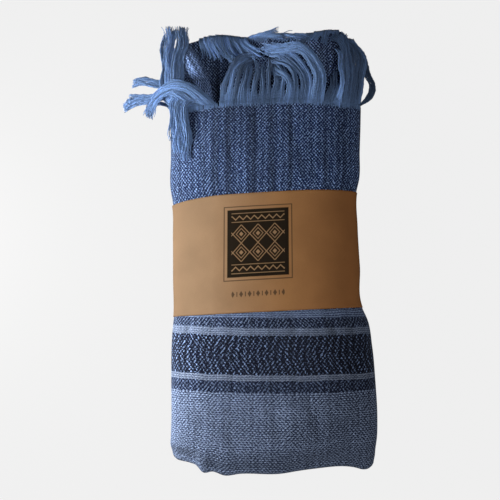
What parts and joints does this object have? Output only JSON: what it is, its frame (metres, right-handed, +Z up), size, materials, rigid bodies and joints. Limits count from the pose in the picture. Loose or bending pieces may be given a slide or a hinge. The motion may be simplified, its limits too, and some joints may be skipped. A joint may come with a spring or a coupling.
{
  "type": "folded kikoy cloth",
  "caption": "Folded and banded cotton wrap cloth lying flat, with border stripes across it and loose fringe standing out of its folded plies at one end.",
  "frame": {"origin": "under the middle of the paper band, on the surface that the bundle rests on", "axes": "+X across the bundle, +Y along it towards the fringed end, +Z up"},
  "size_m": [0.289, 0.5034, 0.0624],
  "materials": {
    "cloth": "handwoven cotton in navy and pale blue, slubby and matt",
    "fringe": "loose soft-spun cotton warp ends, matt",
    "paper": "uncoated brown kraft paper with a plain dark print"
  },
  "bodies": {
    "root": {"outer_wrap": "cloth", "folded_layers": "cloth", "inner_ply_upper": "cloth", "inner_ply_lower": "cloth", "turned_corner": "cloth", "fringe_front": "fringe", "fringe_back": "fringe", "fringe_inner_upper": "fringe", "fringe_inner_lower": "fringe", "paper_band": "paper"}
  },
  "joints": []
}
